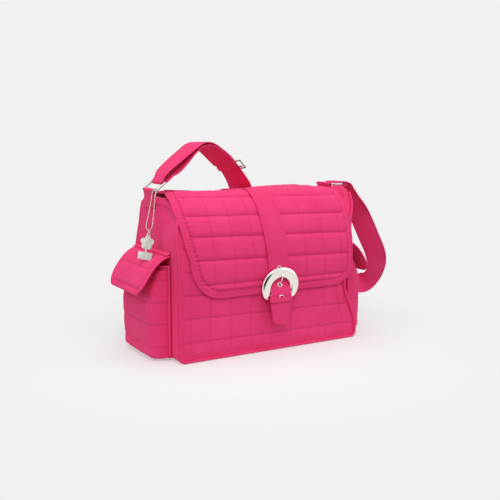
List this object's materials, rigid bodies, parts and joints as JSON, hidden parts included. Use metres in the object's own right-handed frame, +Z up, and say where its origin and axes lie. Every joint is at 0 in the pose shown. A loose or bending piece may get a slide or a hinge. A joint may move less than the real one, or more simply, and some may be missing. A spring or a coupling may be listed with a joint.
{
  "type": "flap bag",
  "caption": "Quilted shoulder bag: padded flap with a buckled closing strap, covered side pockets, webbing shoulder strap on wire rings, and a ball chain charm.",
  "frame": {"origin": "middle of the base on the floor", "axes": "+X to the right of the flap seen from the front, +Y to the back, +Z up"},
  "size_m": [0.6608, 0.2338, 0.3972],
  "materials": {
    "quilt": "pink quilted microfibre, soft low sheen",
    "trim": "pink bound and stitched microfibre",
    "webbing": "pink stitched microfibre webbing",
    "lining": "thin pale pink lining",
    "chrome": "polished plated metal",
    "old_silver": "aged silver",
    "board": "stiff dark board"
  },
  "bodies": {
    "bag": {"base_panel": "quilt", "base_board": "board", "front_panel": "quilt", "back_panel": "quilt", "left_gusset": "quilt", "right_gusset": "quilt", "lining": "lining", "front_piping": "trim", "back_piping": "trim", "left_pocket": "quilt", "right_pocket": "quilt", "left_pocket_hem": "trim", "right_pocket_hem": "trim", "left_pocket_piping": "trim", "right_pocket_piping": "trim", "snap_socket": "chrome", "left_tab": "trim", "right_tab": "trim", "left_ring": "chrome", "right_ring": "chrome", "strap_left_loop": "webbing", "strap_back_run": "webbing", "strap_side_run": "webbing", "strap_right_loop": "webbing"},
    "flap": {"flap_top": "quilt", "flap_top_lining": "lining", "flap_top_binding": "trim", "closure_strap_top": "trim"},
    "flap_front": {"flap_front": "quilt", "flap_lining": "lining", "flap_binding": "trim", "closure_strap": "trim", "eyelets": "chrome", "buckle_frame": "chrome", "buckle_chape": "trim", "keeper_loop": "trim", "snap_stud": "chrome"},
    "prong": {"buckle_prong": "chrome"},
    "left_pocket_cover": {"left_pocket_flap": "quilt", "left_pocket_binding": "trim"},
    "right_pocket_cover": {"right_pocket_flap": "quilt", "right_pocket_binding": "trim"},
    "chain_and_charm": {"ball_chain": "old_silver", "jump_ring": "old_silver", "charm": "old_silver"},
    "strap_arch": {"strap_outer_run": "webbing", "strap_inner_run": "webbing"},
    "slider": {"strap_slider": "chrome", "strap_slider_loop": "webbing"}
  },
  "joints": [
    {"name": "flap_hinge", "type": "hinge", "parent": "bag", "child": "flap", "pos_m": [0, 0.0774, 0.2902], "axis": [-1, 0, 0], "range_deg": [0, 75]},
    {"name": "flap_fold", "type": "hinge", "parent": "flap", "child": "flap_front", "pos_m": [0, -0.0185, 0.305], "axis": [-1, 0, 0], "range_deg": [0, 60]},
    {"name": "strap_lift", "type": "hinge", "parent": "bag", "child": "strap_arch", "pos_m": [0, 0.0774, 0.2902], "axis": [-1, 0, 0], "range_deg": [0, 75.5]},
    {"name": "slider_slide", "type": "slide", "parent": "strap_arch", "child": "slider", "axis": [0.7315, 0.2308, -0.6416], "range_m": [0, 0.008]},
    {"name": "prong_turn", "type": "hinge", "parent": "flap_front", "child": "prong", "pos_m": [0, -0.1106, 0.106], "axis": [1, 0, 0], "range_deg": [0, 2]},
    {"name": "left_pocket_hinge", "type": "hinge", "parent": "bag", "child": "left_pocket_cover", "pos_m": [-0.1996, 0.01, 0.1909], "axis": [0, 1, 0], "range_deg": [0, 70]},
    {"name": "right_pocket_hinge", "type": "hinge", "parent": "bag", "child": "right_pocket_cover", "pos_m": [0.1996, 0.01, 0.1909], "axis": [0, -1, 0], "range_deg": [0, 60]},
    {"name": "charm_swing", "type": "hinge", "parent": "bag", "child": "chain_and_charm", "pos_m": [-0.19855, -0.0094, 0.304], "axis": [0, 1, 0], "range_deg": [0, 48]}
  ],
  "couplings": [
    {"joint": "flap_fold", "follows": "flap_hinge", "ratio": 0.7},
    {"joint": "strap_lift", "follows": "flap_hinge", "ratio": 1},
    {"joint": "charm_swing", "follows": "left_pocket_hinge", "ratio": 0.68}
  ]
}
